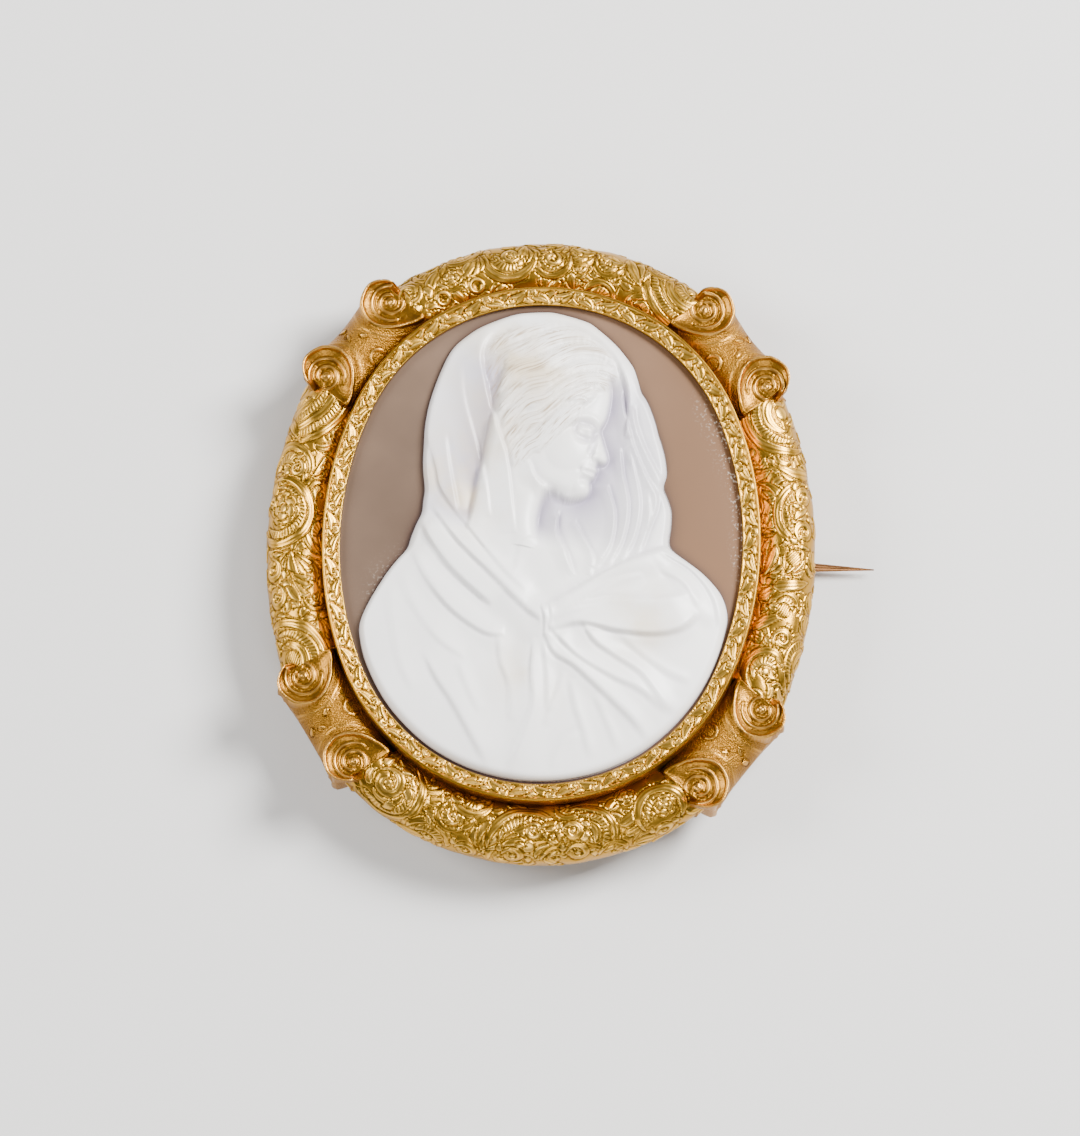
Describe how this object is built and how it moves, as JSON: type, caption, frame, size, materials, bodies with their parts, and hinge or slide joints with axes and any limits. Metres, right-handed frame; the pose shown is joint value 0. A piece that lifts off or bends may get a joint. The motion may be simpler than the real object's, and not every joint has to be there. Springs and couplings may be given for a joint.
{
  "type": "cameo brooch",
  "caption": "Oval brooch with a carved shell cameo of a veiled bust in a chased gold frame with scroll cuffs and a hinged pin.",
  "frame": {"origin": "middle of the brooch with its pin, at its lowest point, where it rests on the hinge and the catch", "axes": "+Z is the carved face, +Y the top of the cameo, +X the way the closed pin points"},
  "size_m": [0.0554, 0.058, 0.011],
  "materials": {
    "gold": "chased yellow gold",
    "shell": "polished carved shell, white on brown",
    "rose_gold": "polished pale rose gold"
  },
  "bodies": {
    "brooch": {"frame": "gold", "cameo": "shell", "pin_rivet": "rose_gold"},
    "pin": {"pin_stem": "rose_gold"}
  },
  "joints": [
    {"name": "pin_hinge", "type": "hinge", "parent": "brooch", "child": "pin", "pos_m": [-0.02291, 0.0005, 0.001], "axis": [0, 1, 0], "range_deg": [0, 75]}
  ]
}
